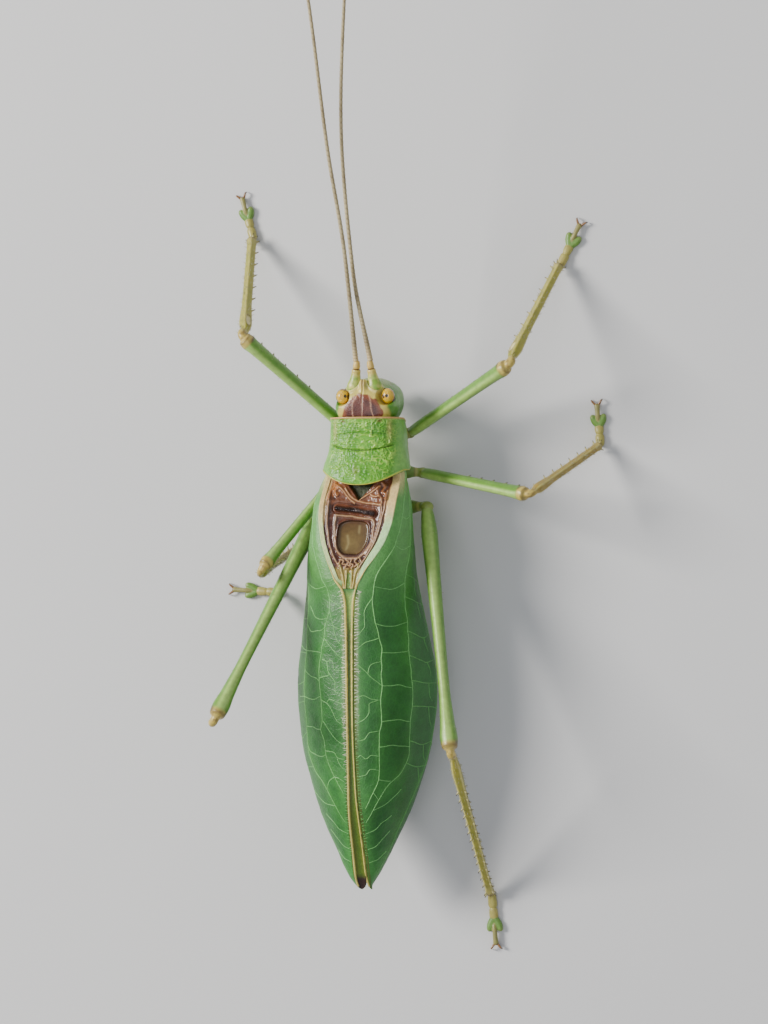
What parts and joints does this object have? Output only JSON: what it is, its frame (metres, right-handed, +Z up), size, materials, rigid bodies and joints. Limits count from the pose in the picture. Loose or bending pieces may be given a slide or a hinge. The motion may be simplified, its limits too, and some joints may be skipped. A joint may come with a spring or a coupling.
{
  "type": "long horned grasshopper",
  "caption": "Green male true katydid standing with folded leaf-like wings, brown sound-making patch, long slender legs and very long feelers.",
  "frame": {"origin": "on the floor under the centre of the bounding box, feelers included", "axes": "+Z up, -Y the way the head points, +X the animal's left side"},
  "size_m": [0.0394, 0.1202, 0.0228],
  "materials": {
    "head": "satin cuticle",
    "eye": "glossy, moist look",
    "mouth": "satin cuticle",
    "palp": "satin cuticle",
    "scape": "satin cuticle",
    "antenna": "satin cuticle",
    "pronotum": "satin cuticle",
    "belly": "satin cuticle",
    "wing": "satin cuticle",
    "mirror": "satin cuticle",
    "coxa": "satin cuticle",
    "femur": "satin cuticle",
    "tibia": "satin cuticle",
    "tarsus": "satin cuticle"
  },
  "bodies": {
    "root": {"head": "head", "eye_left": "eye", "eye_right": "eye", "labrum": "mouth", "mandible_left": "mouth", "maxillary_palp_left": "palp", "labial_palp_left": "palp", "antenna_base_left": "scape", "antenna_inner_left": "antenna", "antenna_outer_left": "antenna", "mandible_right": "mouth", "maxillary_palp_right": "palp", "labial_palp_right": "palp", "antenna_base_right": "scape", "antenna_inner_right": "antenna", "antenna_outer_right": "antenna", "pronotum": "pronotum", "thorax": "belly", "abdomen": "belly", "subgenital_plate": "belly", "cercus_left": "belly", "tegmen_left": "wing", "cercus_right": "belly", "tegmen_right": "wing", "stridulatory_area": "mirror", "coxa_front_left": "coxa", "femur_front_left": "femur", "tibia_front_left": "tibia", "tarsus_front_left": "tarsus", "coxa_front_right": "coxa", "femur_front_right": "femur", "tibia_front_right": "tibia", "tarsus_front_right": "tarsus", "coxa_mid_left": "coxa", "femur_mid_left": "femur", "tibia_mid_left": "tibia", "tarsus_mid_left": "tarsus", "coxa_mid_right": "coxa", "femur_mid_right": "femur", "tibia_mid_right": "tibia", "tarsus_mid_right": "tarsus", "coxa_hind_left": "coxa", "femur_hind_left": "femur", "tibia_hind_left": "tibia", "tarsus_hind_left": "tarsus", "coxa_hind_right": "coxa", "femur_hind_right": "femur", "tibia_hind_right": "tibia", "tarsus_hind_right": "tarsus"}
  },
  "joints": []
}
